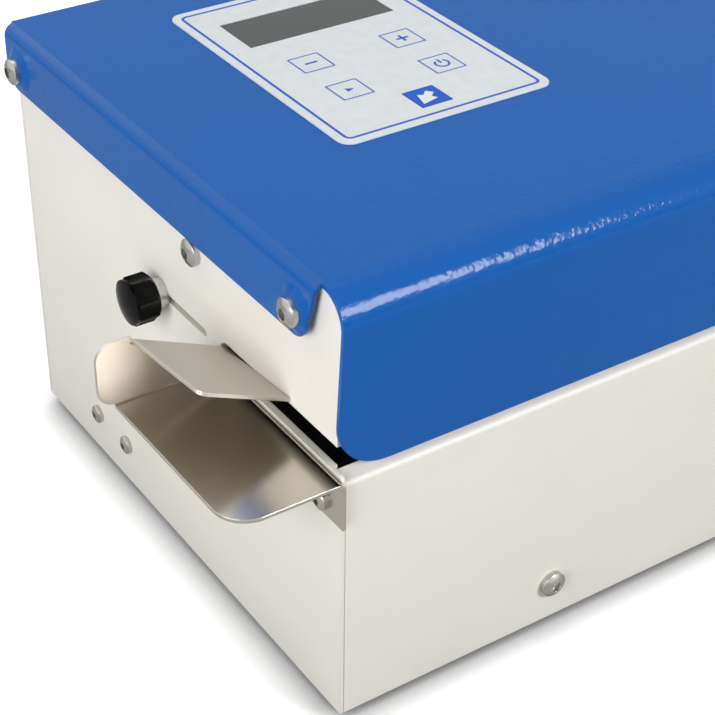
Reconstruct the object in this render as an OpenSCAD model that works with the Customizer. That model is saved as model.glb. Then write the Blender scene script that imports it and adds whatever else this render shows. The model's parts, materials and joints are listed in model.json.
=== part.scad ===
// Rotary heat sealer for pouches: a folded base, a hood, an inlet tray with a sliding guide, a keypad,
// and inside a belt and roller drive with two heated bars.
// Lengths are in millimetres. Every piece is drawn from the front left bottom corner of the base,
// with X to the right, Y to the back and Z up, and then moved to the frame under the object's middle.

/* [Base] */
// Length of the base over its end plates
base_l = 500; // [460:10:600]
// Depth of the base from the front panel to the rear panel
base_d = 215; // [210:1:235]
// Height of the rubber feet
foot_h = 4; // [3:0.5:8]
// Diameter of the rubber feet
foot_d = 18; // [12:1:22]
// Distance of the feet from the base's edges
foot_inset = 30; // [20:1:40]
// Thickness of the folded base panels
panel_t = 1.5; // [1:0.1:2]
// Thickness of the end plates
end_t = 2.5; // [2:0.1:3]
// Height of the bottom plate's upturned flanges
bottom_flange = 26; // [24:1:32]
// Depth of the folded ledge
ledge_d = 5.6; // [4:0.1:7]
// Angle at which the ledge rises to the rear
ledge_angle = 20; // [5:1:25]
// Outer radius of the ledge's fold
ledge_r = 2; // [2:0.1:3]

/* [Throat] */
// Height of the slot between the ledge and the hood's lower front edge
front_slot = 2.1; // [1.8:0.1:3]
// Height of the end plates' lower lip above the hood's lower front edge
lip_rise = 0.2; // [0:0.1:1]
// Height of the throat between the lips
throat_h = 9.7; // [9:0.1:10.5]
// Depth of the throat from the front
throat_d = 71.3; // [71:0.1:72]

/* [Hood] */
// Height of the hood's top above the base's underside
hood_h = 161; // [145:0.5:180]
// Height of the hood's front from its lower edge to its top
hood_rise = 63.6; // [58:0.2:75]
// Thickness of the hood's sheet
hood_t = 1.5; // [1:0.1:2]
// Gap between the hood's flanges and the plates that they cover
hood_gap = 1.9; // [1.4:0.1:2.2]
// Height of the raised pads under the hood's screws
boss_h = 1.5; // [0.8:0.1:1.6]
// Outer radius of the hood's front bend
front_r = 11.5; // [8:0.5:16]
// Outer radius of the hood's side and rear bends
side_r = 4.5; // [3:0.5:8]
// Distance that the front bend stands in front of the base
front_proud = 2; // [0:0.1:2.5]
// Angle at which the hood's front leans in towards its lower edge
front_lean = 3.9; // [2:0.1:4.5]
// Radius of the hood's lower front corners
hood_corner_r = 18.5; // [10:0.5:22]
// Depth of the hood's side and rear flanges
hood_flange = 22.6; // [20:0.2:26]
// Slope of the side flange's front end, measured along the base
flange_slope = 5.5; // [4:0.5:10]
// Radius of the side flange's lower corners
flange_corner_r = 8; // [2:0.5:9]
// Distance that the hood stands out behind the rear panel
rear_over = 1.5; // [0.5:0.5:4]

/* [Screws] */
// Diameter of the screws' shanks
screw_d = 5; // [4:0.5:6]
// Diameter of the screws' button heads
screw_head_d = 9.4; // [9:0.2:11]
// Height of the screws' button heads
screw_head_h = 3.6; // [2.5:0.1:4]
// Diameter of the small screws' heads low on the end plates
small_head_d = 7; // [6:0.5:8]
// Diameter of the small screws' shanks
small_screw_d = 4; // [3:0.5:4]

/* [Inlet] */
// Thickness of the stainless sheet
inlet_t = 1.2; // [1:0.1:1.5]
// Length that the tray stands out from the end plate
tray_out = 39; // [30:0.2:42]
// Width of the tray along the end plate
tray_w = 74; // [73:0.5:76]
// Distance that the tray stands out in front of the base
tray_front = 2.4; // [0:0.1:3]
// Height of the tray's flange on the end plate
tray_flange = 17.8; // [16:0.2:20]
// Radius of the tray's outer corners
tray_corner_r = 11; // [4:0.5:16]
// Outer radius of the tray's bend
tray_bend_r = 3; // [2.5:0.1:4]
// Distance of the guide's wall from the front at rest
wall_y = 69; // [68.5:0.1:69.2]
// Length that the guide's wall stands out from the end plate
wall_out = 44.5; // [42:0.5:50]
// Length that the flared lip stands out from the end plate
flare_out = 31.9; // [24:0.1:36]
// Width of the flared lip along the base
flare_w = 42; // [30:0.5:44]
// Angle at which the flared lip rises away from the end plate
flare_angle = 24.4; // [15:0.2:32]
// Angle at which the flared lip rises towards the front
flare_tilt = 5; // [0:0.5:6]
// Radius of the flared lip's free corner
flare_corner_r = 3; // [1:0.5:6]
// Outer radius of the guide's bends
guide_bend_r = 2.5; // [2:0.1:3]

/* [Knob] */
// Diameter of the clamp knob
knob_d = 17.2; // [15:0.2:22]
// Length of the clamp knob
knob_l = 10.4; // [9:0.2:14]
// Number of flutes round the knob
knob_flutes = 8; // [6:1:12]
// Depth of the flutes
flute_depth = 1.3; // [0.8:0.1:1.6]
// Distance of the knob from the front at rest
knob_y = 110.4; // [110:0.2:114]
// Length of the collar between the knob and the end plate
collar_l = 3.9; // [2:0.1:6]
// Diameter of the clamp stud
stud_d = 2.5; // [2.5:0.5:3.5]
// Travel of the guide towards the front
guide_travel = 26; // [20:1:30]

/* [Keypad] */
// Distance of the keypad from the left end
pad_x = 48.2; // [40:0.2:60]
// Distance of the keypad from the front
pad_y = 72.8; // [70:0.1:80]
// Width of the keypad
pad_w = 84.5; // [80:0.5:100]
// Depth of the keypad
pad_d = 116; // [110:1:125]
// Radius of the keypad's corners
pad_r = 5; // [2:0.5:8]
// Thickness of the keypad's overlay
pad_t = 0.5; // [0.4:0.1:0.8]
// Width of a key
key_w = 12.2; // [10:0.1:14]
// Travel of a key
key_travel = 0.4; // [0.2:0.05:0.45]
// Distance between the two columns of keys
key_columns = 37.8; // [34:0.2:44]
// Distance between the two rows of keys
key_rows = 24; // [20:0.5:26]
// Width of the display window
display_w = 60; // [50:1:70]
// Depth of the display window
display_d = 22; // [18:1:26]

/* [Drive] */
// Module of the gears
gear_module = 1.5; // [1.4:0.05:1.6]
// Number of teeth on the two shaft gears
gear_teeth = 30; // [30:2:32]
// Number of teeth on the motor's pinion
pinion_teeth = 15; // [15:1:17]
// Width of the gears
gear_w = 10; // [8:0.5:12]
// Play between two teeth that mesh
gear_play = 0.16; // [0.1:0.02:0.3]
// Diameter of the drive shafts and idler journals
shaft_d = 10; // [8:0.5:11]
// Distance of the belt pulleys from the front
pulley_y = 9; // [8.5:0.1:10]
// Width of the belt pulleys
pulley_w = 11; // [10:0.5:12]
// Thickness of the transport belts
belt_t = 0.9; // [0.7:0.1:1]
// Distance of the rollers and heated bars from the front
seal_y = 24; // [23:0.5:26]
// Width of the rollers and heated bars
seal_w = 13; // [10:0.5:15]
// Distance of the drive shafts from the right end
drive_x = 70; // [60:1:90]
// Distance of the idler pulleys from the left end
idler_x = 70; // [60:1:90]
// Distance of the chassis plate from the front
chassis_y = 80; // [79:0.5:84]
// Thickness of the chassis plate
chassis_t = 3; // [2.5:0.1:4]
// Length of the motor standoffs
standoff_l = 24; // [23:0.5:28]

/* [Heaters] */
// Length of the heated bars
heater_l = 190; // [150:5:220]
// Height of the heated bars
heater_h = 15; // [13:0.5:16]
// Travel of the sprung upper bar
heater_float = 3; // [2:0.5:4]
// Diameter of the heating cartridges
cartridge_d = 8; // [6:0.5:8]
// Free height between a heated bar and its bracket
bracket_gap = 12; // [11:0.5:13]
// Wire diameter of the heater springs
spring_wire = 1; // [0.8:0.1:1.2]
// Number of curls of a heater spring
spring_curls = 5; // [4:1:6]

/* [Hidden] */
$fn = 48;

// Clearance between a shaft and its bore, measured on the radius
run_fit = 0.05;
// Clearance round a screw or pin, measured on the radius
hole_fit = 0.15;
// Gap between pieces that pass each other
pass_gap = 0.4;
// Overrun of a cutting solid past the face that it cuts
cut = 1;

// Half lap of the end plates over the front panel's ends, with the seam between them
lap_x = end_t / 2;
seam = 0.2;
panel_x = lap_x + seam;
ledge_leaf = (ledge_d - ledge_r + ledge_r * sin(ledge_angle)) / cos(ledge_angle);
ledge_rear = ledge_d + panel_t * sin(ledge_angle);

// Heights of the hood's lower front edge, the ledge under it, the lower lip and the throat
hood_edge_h = hood_h - hood_rise;
ledge_h = hood_edge_h - front_slot;
lip_h = hood_edge_h + lip_rise;
throat_top = lip_h + throat_h;
pouch_z = lip_h + throat_h / 2;
stud_rise = 1.2;
stud_z = pouch_z + stud_rise;

// Hood bends: centre of the front bend, and the hood's outer faces at the sides and the rear
front_cy = front_r - front_proud;
front_cz = hood_h - front_r;
hood_side = hood_gap + hood_t;
hood_rear = base_d + hood_side + rear_over;
strip_x = -1;
boss_top_r = 5.2;
boss_r = 8.2;
seat_x = -hood_side - boss_h;
front_leaf = (front_cz - front_r * sin(front_lean) - hood_edge_h) / cos(front_lean);
flange_z = hood_h - hood_flange;
bend_room = sqrt(pow(side_r - hood_t, 2) - pow(side_r - hood_side, 2));
plate_top = hood_h - side_r + bend_room - pass_gap;

// Screw places: [along the plate, height]
screw_l = 9;
short_screw_l = 6;
flange_screw_rise = 9;
flange_screw_inset = 4.7;
flange_screw_rear = 10;
flange_screw_z = flange_z + flange_screw_rise;
flange_screw_ys = [front_cy + flange_slope + flange_screw_inset, base_d - flange_screw_rear];
chassis_screw_inset = 6.5;
chassis_screw_drop = screw_head_d / 2 + 2.1;
chassis_screw_low = 52;
chassis_screw_y = chassis_y + chassis_screw_inset;
chassis_screw_zs = [pouch_z - chassis_screw_low, flange_z - chassis_screw_drop];
base_screw_z = 15.8;
base_screw_inset = 86;
side_screw_rear = 46.3;
side_screw_pitch = 23.2;
side_screw_ys = [base_d - side_screw_rear - side_screw_pitch, base_d - side_screw_rear];
side_screw_z = 17.2;

// Guide: heights of its bend line, its flared lip and its tongue through the throat
tray_drop = 0.2;
tray_z = lip_h - tray_drop;
tray_screw_inset = 11.3;
tray_screw_drop = 12.8;
tray_screw_ys = [tray_screw_inset - tray_front, tray_w - tray_front - tray_screw_inset];
tray_screw_z = tray_z - tray_screw_drop;
guide_x = -pass_gap / 2;
flare_rise = 3.4;
flare_z = pouch_z + flare_rise;
flare_top = flare_z + flare_out * tan(flare_angle);
wall_gap = 0.5;
wall_corner_r = 6;
wall_bottom = tray_z + wall_gap;
tongue_h = 4.6;
tongue_z = pouch_z - tongue_h / 2;
clamp_gap = 1.2;
clamp_x = end_t + clamp_gap;
clamp_h = 17;
clamp_over = 14;
clamp_end = knob_y + clamp_over;
slot_h = stud_d + 2 * hole_fit;
slot_spare = 3;
slot_front = knob_y - guide_travel - slot_h / 2 - slot_spare;
slot_rear = knob_y + slot_h / 2 + slot_spare;
collar_d = 10.8;
nut_af = 1.8 * stud_d;
nut_t = 0.8 * stud_d;

// Keypad: key places as [x, y], and the stack from the overlay down to the board
pad_mid = pad_x + pad_w / 2;
start_inset = 14.7;
row_inset = 32.6;
start_at = [pad_mid, pad_y + start_inset];
row_y = pad_y + row_inset;
column_x = pad_mid - key_columns / 2;
function_at = [column_x, row_y];
standby_at = [column_x + key_columns, row_y];
minus_at = [column_x, row_y + key_rows];
plus_at = [column_x + key_columns, row_y + key_rows];
key_places = [start_at, function_at, standby_at, minus_at, plus_at];
key_t = 0.9;
key_proud = 0.1;
key_gap = 0.15;
key_r = 0.4;
key_window = key_w + 2 * key_gap;
stem_d = 3;
display_inset = 16;
display_at = [pad_mid, pad_y + pad_d - display_d / 2 - display_inset];
display_rim = 3;
board_t = 1.6;
spacer_l = 9;
spacer_d = 6;
board_inset = 4;
board_top = hood_h - hood_t - spacer_l;
switch_h = 5;
switch_w = 6;

// Drive: shaft places, radii and the stack along the shafts
shaft_gap = gear_module * gear_teeth;
pitch_r = shaft_gap / 2;
drive_at = base_l - drive_x;
upper_z = pouch_z + pitch_r;
lower_z = pouch_z - pitch_r;
nip_gap = 0.6;
belt_r = pitch_r - nip_gap / 2;
belt_gap = 0.3;
pulley_r = belt_r - belt_t - belt_gap;
pulley_rim_w = 0.8;
pulley_rim_r = pulley_r + pulley_rim_w;
roller_gap = 0.4;
roller_r = pitch_r - roller_gap / 2;
bush_wall = 2;
bush_rim = 3;
bush_d = shaft_d + 2 * bush_wall;
bush_flange_d = bush_d + 2 * bush_rim;
bush_flange_t = 2;
bush_over = 5;
bush_l = chassis_t + bush_over;
gear_gap = 1;
gear_y = chassis_y + bush_l + gear_gap;
motor_plate_y = chassis_y + chassis_t + standoff_l;
motor_plate_t = 3;
pinion_at = drive_at - gear_module * (gear_teeth + pinion_teeth) / 2;
motor_shaft_d = 8;
gearbox_d = 56;
gearbox_l = 28;
motor_d = 46;
motor_l = 46;
standoff_d = 8;
standoff_x = 58;
standoff_z = 31;
journal_play = 0.75;
journal_l = pulley_w + 2 * journal_play;
axle_step = 3;
axle_d = shaft_d + 2 * axle_step;
axle_nut_t = 6;
chassis_drop = 50;
chassis_bottom = lower_z - chassis_drop;
chassis_room = 16;
chassis_top = hood_h - chassis_room;
tab_d = 22;
tab_h = 20;
notch_l = 24;
notch_room = 6;
notch_h = clamp_h + 2 * notch_room;

// Heaters: places of the bars, the brackets and the sprung pins
heater_room = 12;
heater_end = drive_at - roller_r - heater_room;
heater_left = heater_end - heater_l;
heater_mid = heater_end - heater_l / 2;
heater_gap = 0.6;
bracket_t = 2;
bracket_l = 150;
bracket_over = 2;
bracket_y = seal_y - bracket_over;
bracket_flange = 10;
pin_spacing = 110;
pin_d = 5;
pin_head_d = 9;
pin_head_h = 2.5;
pin_depth = 2.5;
cartridge_drop = 1;
upper_bar_z = pouch_z + heater_gap;
upper_bar_top = upper_bar_z + heater_h;
upper_bracket_z = upper_bar_top + bracket_gap;
lower_bar_z = pouch_z - heater_gap - heater_h;
lower_bracket_z = lower_bar_z - bracket_gap - bracket_t;
cartridge_out = 6;
spring_d = 8.4;
spring_seat = 0.3;
spring_rings = 8;
spring_sides = 6;

// Power supply on the bottom plate
supply_l = 130;
supply_w = 82;
supply_h = 38;
supply_x = 60;
supply_gap = 20;

// Mains inlet and switch on the rear panel
mains_z = 42;
mains_x = 200;
mains_pitch = 42;
inlet_at = base_l - mains_x;
inlet_w = 27;
inlet_h = 20;
inlet_rim = 2;
inlet_rim_t = 2.5;
inlet_l = 20;
inlet_wall = 1.8;
switch_at = inlet_at + mains_pitch;
rocker_w = 10.4;
rocker_reach = 8;
rocker_lift = 4;
rocker_angle = 10;
rocker_pin_d = 2.6;
rocker_pin_out = 0.6;
rocker_sink = 1;
rocker_gap = 0.3;
well_w = rocker_w + 2 * rocker_gap;
well_h = 18;
switch_wall = 1.2;
switch_body_w = well_w + 2 * switch_wall;
switch_body_h = well_h + 2 * switch_wall;
switch_rim = 1.5;
switch_rim_t = 2;
switch_l = 16;
vent_w = 4;
vent_pitch = 9;
vent_count = 14;
vent_inset = 60;
vent_low = 70;
vent_high = 105;

// Frame: moves a piece from the base's corner to the middle of the whole object, on the surface it stands on
overall_left = -wall_out;
overall_right = base_l - seat_x + screw_head_h;
module placed() {
    translate([-(overall_left + overall_right) / 2, -base_d / 2, foot_h])
        children();
}

// Extrusions: a profile in [y, z] along X, in [x, z] along Y, and in [x, y] along Z
module along_x(from, length) {
    translate([from, 0, 0])
        rotate([90, 0, 90])
            linear_extrude(length)
                children();
}

module along_y(from, length) {
    translate([0, from + length, 0])
        rotate([90, 0, 0])
            linear_extrude(length)
                children();
}

module along_z(from, length) {
    translate([0, 0, from])
        linear_extrude(length)
            children();
}

// Rods along X and Y
module rod_x(at, d, length) {
    translate(at)
        rotate([0, 90, 0])
            cylinder(d = d, h = length);
}

module rod_y(at, d, length) {
    translate(at)
        rotate([-90, 0, 0])
            cylinder(d = d, h = length);
}

// Flat shapes
module box_2d(from, to) {
    translate(from)
        square(to - from);
}

module ring_part(r, t, from, to) {
    reach = 3 * r;
    middle = (from + to) / 2;
    intersection() {
        difference() {
            circle(r);
            circle(r - t);
        }
        polygon([
            [0, 0],
            [reach * cos(from), reach * sin(from)],
            [reach * cos(middle), reach * sin(middle)],
            [reach * cos(to), reach * sin(to)]
        ]);
    }
}

module slot_2d(from, to, d) {
    translate(from)
        circle(d = d);
    translate(to)
        circle(d = d);
    across = (to[0] == from[0]) ? [d / 2, 0] : [0, d / 2];
    box_2d(from - across, to + across);
}

module round_box_2d(from, to, r) {
    box_2d(from + [r, 0], to - [r, 0]);
    box_2d(from + [0, r], to - [0, r]);
    for (x = [from[0] + r, to[0] - r], y = [from[1] + r, to[1] - r])
        translate([x, y])
            circle(r);
}

// Corner that is cut off outside a radius; the corner is at the origin between +x and a line at the angle
module corner_cut(r, angle = 90) {
    reach = r / tan(angle / 2);
    middle = [reach, r];
    far = 1.5;
    difference() {
        polygon([
            middle, middle + far * [0, -r], (1 - far) * middle,
            middle + far * [reach * cos(angle) - reach, reach * sin(angle) - r]
        ]);
        translate(middle)
            circle(r);
    }
}

// Screw with a low domed head and a hexagon socket; the head's underside is at the origin and points up
module button_screw(head_d, head_h, d, length) {
    dome = 0.45 * head_h;
    dome_r = (head_d * head_d / 4 + dome * dome) / (2 * dome);
    difference() {
        union() {
            intersection() {
                translate([0, 0, head_h - dome_r])
                    sphere(dome_r);
                cylinder(d = head_d, h = head_h + cut);
            }
            translate([0, 0, -length])
                cylinder(d = d, h = length);
        }
        translate([0, 0, head_h * 0.4])
            cylinder(d = 0.44 * head_d, h = head_h, $fn = 6);
    }
}

module screw_left(y, z, face, head_d = screw_head_d, d = screw_d, length = screw_l) {
    translate([face, y, z])
        rotate([0, -90, 0])
            button_screw(head_d, screw_head_h * head_d / screw_head_d, d, length);
}

module screw_front(x, z, length = short_screw_l) {
    translate([x, 0, z])
        rotate([90, 0, 0])
            button_screw(screw_head_d, screw_head_h, screw_d, length);
}

module screw_rear(x, z, length = short_screw_l) {
    translate([x, base_d, z])
        rotate([-90, 0, 0])
            button_screw(screw_head_d, screw_head_h, screw_d, length);
}

// Copies a piece at the left end to the right end too
module both_ends() {
    children();
    translate([base_l, 0, 0])
        mirror([1, 0, 0])
            children();
}

// End plates
module hood_inner_2d() {
    inner_r = front_r - hood_t - pass_gap;
    translate([front_cy, front_cz]) {
        circle(inner_r);
        rotate(front_lean)
            translate([-inner_r, -front_leaf - cut])
                square([inner_r + 2 * front_r, front_leaf + cut]);
    }
    box_2d([front_cy, throat_top], [base_d - panel_t - pass_gap / 2, plate_top]);
}

module end_plate_2d() {
    difference() {
        union() {
            intersection() {
                hood_inner_2d();
                box_2d([-front_r, throat_top], [base_d, hood_h]);
            }
            box_2d([panel_t + seam, 0], [base_d - panel_t - pass_gap / 2, lip_h]);
            box_2d([throat_d - throat_h, 0], [base_d - panel_t - pass_gap / 2, plate_top]);
        }
        box_2d([front_cy, plate_top], [base_d, hood_h]);
        box_2d([0, ledge_h - ledge_r - pass_gap], [ledge_rear + seam, lip_h + cut]);
        slot_2d([-front_r, pouch_z], [throat_d - throat_h / 2, pouch_z], throat_h);
        for (y = flange_screw_ys)
            translate([y, flange_screw_z])
                circle(d = screw_d + 2 * hole_fit);
        for (z = chassis_screw_zs)
            translate([chassis_screw_y, z])
                circle(d = screw_d + 2 * hole_fit);
        for (y = side_screw_ys)
            translate([y, side_screw_z])
                circle(d = small_screw_d + 2 * hole_fit);
    }
}

// Half of the plate's thickness that laps the front panel's end
module end_lap() {
    along_x(0, lap_x)
        difference() {
            union() {
                box_2d([0, 0], [panel_t + seam + cut, lip_h]);
                box_2d([0, ledge_h - ledge_r - 2 * pass_gap], [ledge_rear + seam + cut, lip_h]);
            }
            translate([0, lip_h])
                mirror([0, 1])
                    corner_cut(ledge_r);
        }
}

module left_end_plate() {
    color("ivory") placed() {
        end_lap();
        along_x(0, end_t)
            difference() {
                end_plate_2d();
                slot_2d([slot_front + slot_h / 2, stud_z], [slot_rear - slot_h / 2, stud_z], slot_h);
                for (y = tray_screw_ys)
                    translate([y, tray_screw_z])
                        circle(d = small_screw_d + 2 * hole_fit);
            }
    }
}

module right_end_plate() {
    color("ivory") placed()
        translate([base_l, 0, 0])
            mirror([1, 0, 0]) {
                end_lap();
                along_x(0, end_t)
                    end_plate_2d();
            }
}

// Folded base panels
module front_panel() {
    color("ivory") placed()
        difference() {
            along_x(panel_x, base_l - 2 * panel_x) {
                box_2d([0, 0], [panel_t, ledge_h - ledge_r]);
                translate([ledge_r, ledge_h - ledge_r]) {
                    ring_part(ledge_r, panel_t, 90 + ledge_angle, 180);
                    rotate(ledge_angle)
                        translate([0, ledge_r - panel_t])
                            square([ledge_leaf, panel_t]);
                }
            }
            for (x = [base_screw_inset, base_l / 2, base_l - base_screw_inset])
                rod_y([x, -cut, base_screw_z], screw_d + 2 * hole_fit, panel_t + 2 * cut);
        }
}

module vent_row_2d(from, low, high) {
    for (i = [0 : vent_count - 1])
        slot_2d([from + i * vent_pitch, low], [from + i * vent_pitch, high], vent_w);
}

module rear_panel() {
    color("ivory") placed()
        along_y(base_d - panel_t, panel_t)
            difference() {
                box_2d([0, 0], [base_l, plate_top]);
                vent_row_2d(vent_inset, vent_low, vent_high);
                vent_row_2d(base_l - vent_inset - (vent_count - 1) * vent_pitch, vent_low, vent_high);
                translate([inlet_at, mains_z])
                    square([inlet_w + 2 * hole_fit, inlet_h + 2 * hole_fit], center = true);
                translate([switch_at, mains_z])
                    square([switch_body_w + 2 * hole_fit, switch_body_h + 2 * hole_fit], center = true);
                for (x = [base_screw_inset, base_l - base_screw_inset])
                    translate([x, base_screw_z])
                        circle(d = screw_d + 2 * hole_fit);
            }
}

module bottom_plate() {
    flange_cut = 2 * panel_t;
    color("gainsboro") placed()
        difference() {
            union() {
                translate([end_t, panel_t, 0])
                    cube([base_l - 2 * end_t, base_d - 2 * panel_t, panel_t]);
                translate([end_t + flange_cut, panel_t, 0])
                    cube([base_l - 2 * end_t - 2 * flange_cut, panel_t, bottom_flange]);
                translate([end_t + flange_cut, base_d - 2 * panel_t, 0])
                    cube([base_l - 2 * end_t - 2 * flange_cut, panel_t, bottom_flange]);
                both_ends()
                    translate([end_t, panel_t + flange_cut, 0])
                        cube([panel_t, base_d - 2 * panel_t - 2 * flange_cut, bottom_flange]);
            }
            for (x = [base_screw_inset, base_l / 2, base_l - base_screw_inset])
                rod_y([x, 0, base_screw_z], screw_d + 2 * hole_fit, base_d / 2);
            for (x = [base_screw_inset, base_l - base_screw_inset])
                rod_y([x, base_d / 2, base_screw_z], screw_d + 2 * hole_fit, base_d / 2);
            both_ends()
                for (y = side_screw_ys)
                    rod_x([0, y, side_screw_z], small_screw_d + 2 * hole_fit, end_t + 3 * panel_t);
            for (x = [foot_inset, base_l - foot_inset], y = [foot_inset, base_d - foot_inset])
                translate([x, y, -cut])
                    cylinder(d = screw_d + 2 * hole_fit, h = panel_t + 2 * cut);
            along_z(-cut, panel_t + 2 * cut)
                vent_row_2d((base_l - (vent_count - 1) * vent_pitch) / 2, vent_low, vent_high);
        }
}

// Feet are turned pads with a stem that snaps into the bottom plate
module rubber_feet() {
    color("dimgray") placed()
        for (x = [foot_inset, base_l - foot_inset], y = [foot_inset, base_d - foot_inset])
            translate([x, y, -foot_h])
                rotate_extrude()
                    polygon([
                        [0, 1], [foot_d / 4, 1], [foot_d / 4, 0], [foot_d / 2 - 1, 0], [foot_d / 2, foot_h],
                        [screw_d / 2, foot_h], [screw_d / 2, foot_h + panel_t + 3], [0, foot_h + panel_t + 3]
                    ]);
}

// Hood
module hood_strip(from, length) {
    along_x(from, length) {
        translate([front_cy, front_cz]) {
            ring_part(front_r, hood_t, 90, 180 + front_lean);
            rotate(front_lean)
                translate([-front_r, -front_leaf])
                    square([hood_t, front_leaf]);
        }
    }
}

module hood_top() {
    rear_cy = hood_rear - side_r;
    along_x(side_r - hood_side, base_l + 2 * hood_side - 2 * side_r) {
        box_2d([front_cy, hood_h - hood_t], [rear_cy, hood_h]);
        translate([rear_cy, hood_h - side_r])
            ring_part(side_r, hood_t, 0, 90);
        box_2d([hood_rear - hood_t, flange_z], [hood_rear, hood_h - side_r]);
    }
}

// Pad pressed out of the flange round a screw; its axis is X and the flange's outer face is at the origin
module boss() {
    rim = 0.5;
    rotate([0, 90, 0])
        rotate_extrude()
            polygon([
                [0, -boss_h], [boss_top_r, -boss_h], [boss_r, 0], [boss_r + rim, 0],
                [boss_r + rim, hood_t], [boss_r, hood_t], [boss_top_r, hood_t - boss_h], [0, hood_t - boss_h]
            ]);
}

module hood_side_flange() {
    rear_end = hood_rear - side_r;
    intersection() {
        union() {
            difference() {
                along_y(front_cy, rear_end - front_cy) {
                    translate([side_r - hood_side, hood_h - side_r])
                        ring_part(side_r, hood_t, 90, 180);
                    box_2d([-hood_side, flange_z], [hood_t - hood_side, hood_h - side_r]);
                }
                for (y = flange_screw_ys)
                    rod_x([-2 * hood_side, y, flange_screw_z], 2 * boss_r, 2 * hood_side);
            }
            for (y = flange_screw_ys)
                translate([-hood_side, y, flange_screw_z])
                    boss();
        }
        along_x(-2 * hood_side, 2 * hood_side + side_r)
            difference() {
                polygon([
                    [front_cy, hood_h], [front_cy, hood_h + cut], [rear_end, hood_h + cut],
                    [rear_end, flange_z], [front_cy + flange_slope, flange_z]
                ]);
                translate([rear_end, flange_z])
                    mirror([1, 0])
                        corner_cut(flange_corner_r);
                translate([front_cy + flange_slope, flange_z])
                    corner_cut(flange_corner_r, 90 + atan(flange_slope / hood_flange));
            }
    }
}

module top_cover() {
    color("royalblue") placed()
        difference() {
            union() {
                hood_strip(strip_x, base_l - 2 * strip_x);
                hood_top();
                both_ends()
                    hood_side_flange();
            }
            both_ends() {
                along_y(-front_r, 2 * front_r)
                    translate([strip_x, hood_edge_h])
                        corner_cut(hood_corner_r);
                for (y = flange_screw_ys)
                    rod_x([-2 * hood_side, y, flange_screw_z], screw_d + 2 * hole_fit, 2 * hood_side);
            }
            along_z(board_top, spacer_l + 2 * hood_t) {
                for (at = key_places)
                    translate(at)
                        square(key_window, center = true);
                translate(display_at)
                    square([display_w - 2 * display_rim, display_d - 2 * display_rim], center = true);
            }
        }
}

// Screws
module cover_screws() {
    color("silver") placed()
        both_ends()
            for (y = flange_screw_ys)
                screw_left(y, flange_screw_z, seat_x);
}

module chassis_screws() {
    color("silver") placed()
        both_ends()
            for (z = chassis_screw_zs)
                screw_left(chassis_screw_y, z, 0);
}

module front_screws() {
    color("silver") placed() {
        for (x = [base_screw_inset, base_l / 2, base_l - base_screw_inset])
            screw_front(x, base_screw_z);
        for (x = [base_screw_inset, base_l - base_screw_inset])
            screw_rear(x, base_screw_z);
    }
}

module side_screws() {
    color("silver") placed()
        both_ends()
            for (y = side_screw_ys)
                screw_left(y, side_screw_z, 0, small_head_d, small_screw_d, short_screw_l);
}

// Inlet tray: an angle whose flange is screwed to the left end plate
module inlet_tray() {
    color("lightgray") placed()
        difference() {
            along_y(-tray_front, tray_w) {
                box_2d([-inlet_t, tray_z - tray_flange], [0, tray_z - tray_bend_r]);
                translate([-tray_bend_r, tray_z - tray_bend_r])
                    ring_part(tray_bend_r, inlet_t, 0, 90);
                box_2d([-tray_out, tray_z - inlet_t], [-tray_bend_r, tray_z]);
            }
            along_z(tray_z - inlet_t - cut, inlet_t + 2 * cut) {
                translate([-tray_out, -tray_front])
                    corner_cut(tray_corner_r);
                translate([-tray_out, tray_w - tray_front])
                    mirror([0, 1])
                        corner_cut(tray_corner_r / 4);
            }
            for (y = tray_screw_ys)
                rod_x([-inlet_t - cut, y, tray_screw_z], small_screw_d + 2 * hole_fit, inlet_t + 2 * cut);
        }
}

module tray_screws() {
    color("silver") placed()
        for (y = tray_screw_ys)
            screw_left(y, tray_screw_z, -inlet_t, small_head_d, small_screw_d, short_screw_l);
}

// Inlet guide: one folded sheet with the pouch stop, the flared lip, a tongue through the throat
// and a leaf behind the end plate that the knob clamps
module flare() {
    length = (flare_out + guide_x) / cos(flare_angle);
    leaf = flare_w - guide_bend_r;
    translate([guide_x, wall_y + inlet_t, flare_z])
        rotate([0, flare_angle, 0])
            translate([0, -guide_bend_r, -guide_bend_r])
                difference() {
                    along_x(-length, length) {
                        ring_part(guide_bend_r, inlet_t, 0, 90 - flare_tilt);
                        box_2d([guide_bend_r - inlet_t, -3 * guide_bend_r], [guide_bend_r, 0]);
                        rotate(-flare_tilt)
                            box_2d([-leaf, guide_bend_r - inlet_t], [0, guide_bend_r]);
                    }
                    rotate([-flare_tilt, 0, 0])
                        translate([-length, -leaf, 0])
                            along_z(0, 2 * guide_bend_r)
                                corner_cut(flare_corner_r);
                }
}

module guide_wall_2d() {
    drop = guide_bend_r / cos(flare_angle);
    difference() {
        polygon([
            [-wall_out, wall_bottom], [guide_x, wall_bottom], [guide_x, flare_z - drop],
            [-flare_out, flare_top - drop], [-flare_out, flare_top], [-wall_out, flare_top]
        ]);
        translate([-wall_out, flare_top])
            mirror([0, 1])
                corner_cut(wall_corner_r);
        translate([-wall_out, wall_bottom])
            corner_cut(wall_corner_r);
    }
}

module inlet_guide() {
    color("lightgray") placed()
        difference() {
            union() {
                along_y(wall_y, inlet_t) {
                    guide_wall_2d();
                    box_2d([guide_x - cut, tongue_z], [clamp_x + inlet_t, tongue_z + tongue_h]);
                }
                intersection() {
                    flare();
                    translate([-wall_out, -base_d, tray_z])
                        cube([wall_out + guide_x, 2 * base_d, hood_h]);
                }
                along_x(clamp_x, inlet_t)
                    box_2d([wall_y, stud_z - clamp_h / 2], [clamp_end, stud_z + clamp_h / 2]);
            }
            rod_x([0, knob_y, stud_z], stud_d + 2 * run_fit, clamp_x + inlet_t + cut);
        }
}

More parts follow.
